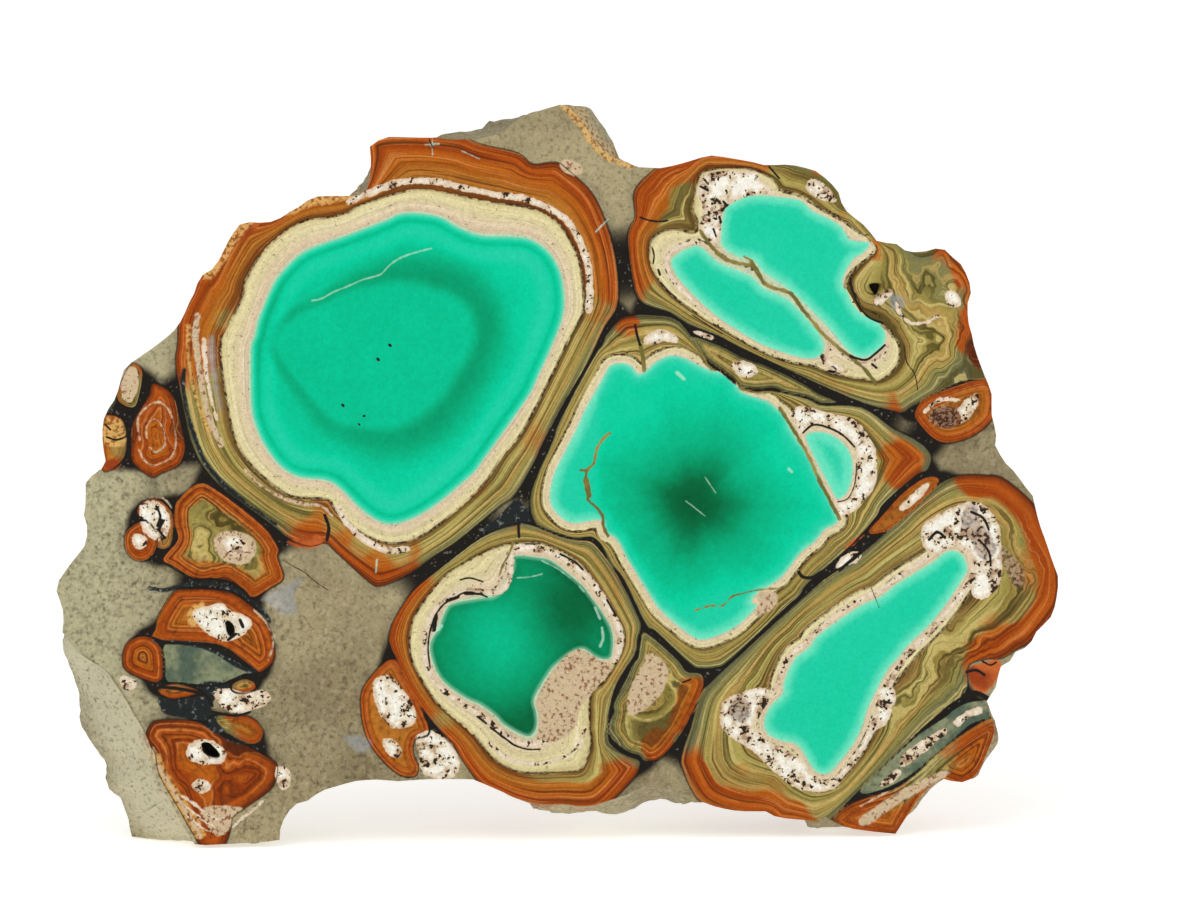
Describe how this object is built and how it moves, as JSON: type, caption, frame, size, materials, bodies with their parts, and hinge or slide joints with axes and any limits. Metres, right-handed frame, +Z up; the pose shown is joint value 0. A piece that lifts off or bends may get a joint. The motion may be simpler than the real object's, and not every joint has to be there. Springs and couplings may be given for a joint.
{
  "type": "variscite nodule slab",
  "caption": "Sawn and polished slab of green variscite nodules with banded rinds in limestone, standing upright on its own rough feet",
  "frame": {"origin": "middle of the box around the slab, at floor level", "axes": "X runs along the slab's width, the polished face looks towards -Y, and +Z is up"},
  "size_m": [0.2, 0.0394, 0.1489],
  "materials": {
    "stone": "polished green, cream and brown nodules on the face; rough broken limestone on the other sides"
  },
  "bodies": {
    "root": {"variscite_slab": "stone"}
  },
  "joints": []
}
